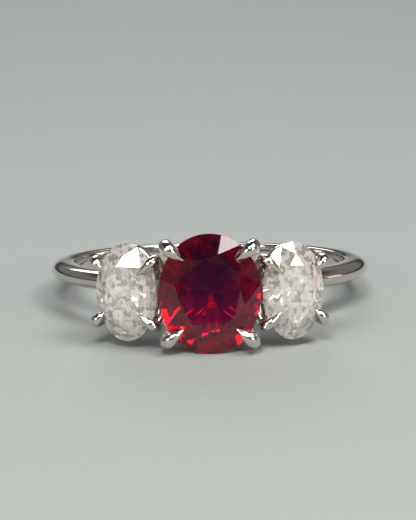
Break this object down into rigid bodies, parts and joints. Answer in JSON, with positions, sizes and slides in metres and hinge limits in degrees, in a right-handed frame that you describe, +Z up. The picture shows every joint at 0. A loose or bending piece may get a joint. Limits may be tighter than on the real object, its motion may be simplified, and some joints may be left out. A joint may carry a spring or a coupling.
{
  "type": "finger ring",
  "caption": "Slim finger ring lying on its side, with an oval red stone between smaller oval clear stones, each claw-set in an open basket.",
  "frame": {"origin": "centre of the bounding box's bottom: the point of the surface that the ring lies on, under the middle of the ring", "axes": "+X across the hand, towards the right-hand diamond; +Y from the stones towards the back of the shank; +Z up from the surface. The ring lies on its side on the ruby's edge and the back of the shank, so its finger axis leans 7.5 degrees from +Z."},
  "size_m": [0.0198, 0.0246, 0.0071],
  "materials": {
    "polished_platinum": "mirror polish",
    "ruby_red": "faceted and polished",
    "diamond_clear": "faceted and polished"
  },
  "bodies": {
    "root": {"shank": "polished_platinum", "under_gallery": "polished_platinum", "ruby": "ruby_red", "ruby_upper_rail": "polished_platinum", "ruby_lower_rail": "polished_platinum", "ruby_claw_upper_left": "polished_platinum", "ruby_claw_upper_right": "polished_platinum", "ruby_claw_lower_left": "polished_platinum", "ruby_claw_lower_right": "polished_platinum", "left_diamond": "diamond_clear", "left_diamond_upper_rail": "polished_platinum", "left_diamond_lower_rail": "polished_platinum", "left_diamond_claw_upper_left": "polished_platinum", "left_diamond_claw_upper_right": "polished_platinum", "left_diamond_claw_lower_left": "polished_platinum", "left_diamond_claw_lower_right": "polished_platinum", "right_diamond": "diamond_clear", "right_diamond_upper_rail": "polished_platinum", "right_diamond_lower_rail": "polished_platinum", "right_diamond_claw_upper_left": "polished_platinum", "right_diamond_claw_upper_right": "polished_platinum", "right_diamond_claw_lower_left": "polished_platinum", "right_diamond_claw_lower_right": "polished_platinum"}
  },
  "joints": []
}
